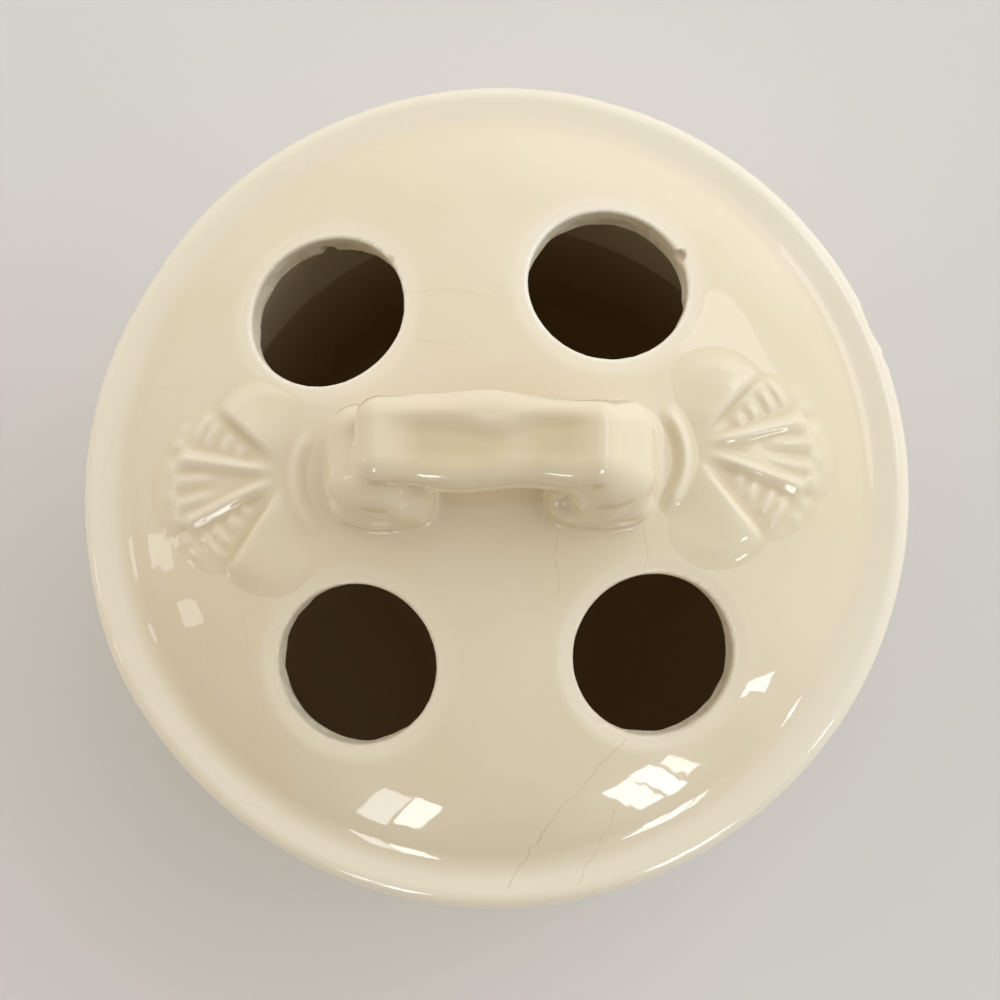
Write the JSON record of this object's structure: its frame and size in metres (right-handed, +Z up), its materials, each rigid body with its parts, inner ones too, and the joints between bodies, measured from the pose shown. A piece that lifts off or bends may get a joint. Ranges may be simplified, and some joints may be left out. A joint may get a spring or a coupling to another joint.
{
  "type": "toothbrush holder",
  "caption": "Round glazed ceramic jar with a lift-off domed lid pierced by brush holes, with a strap handle between moulded shells.",
  "frame": {"origin": "centre of the foot ring on the surface that the jar stands on", "axes": "+Z up along the jar's axis, +X along the handle, +Y towards the back"},
  "size_m": [0.105, 0.105, 0.1183],
  "materials": {
    "lid_glaze": "glossy cream glaze",
    "jar_glaze": "glossy cream glaze"
  },
  "bodies": {
    "jar": {"jar": "jar_glaze"},
    "lid": {"lid_cover": "lid_glaze", "lid_collar": "lid_glaze", "strap_handle": "lid_glaze", "left_shell": "lid_glaze", "right_shell": "lid_glaze"}
  },
  "joints": [
    {"name": "lid_lift", "type": "slide", "parent": "jar", "child": "lid", "axis": [0, 0, 1], "range_m": [0, 0.06]}
  ]
}
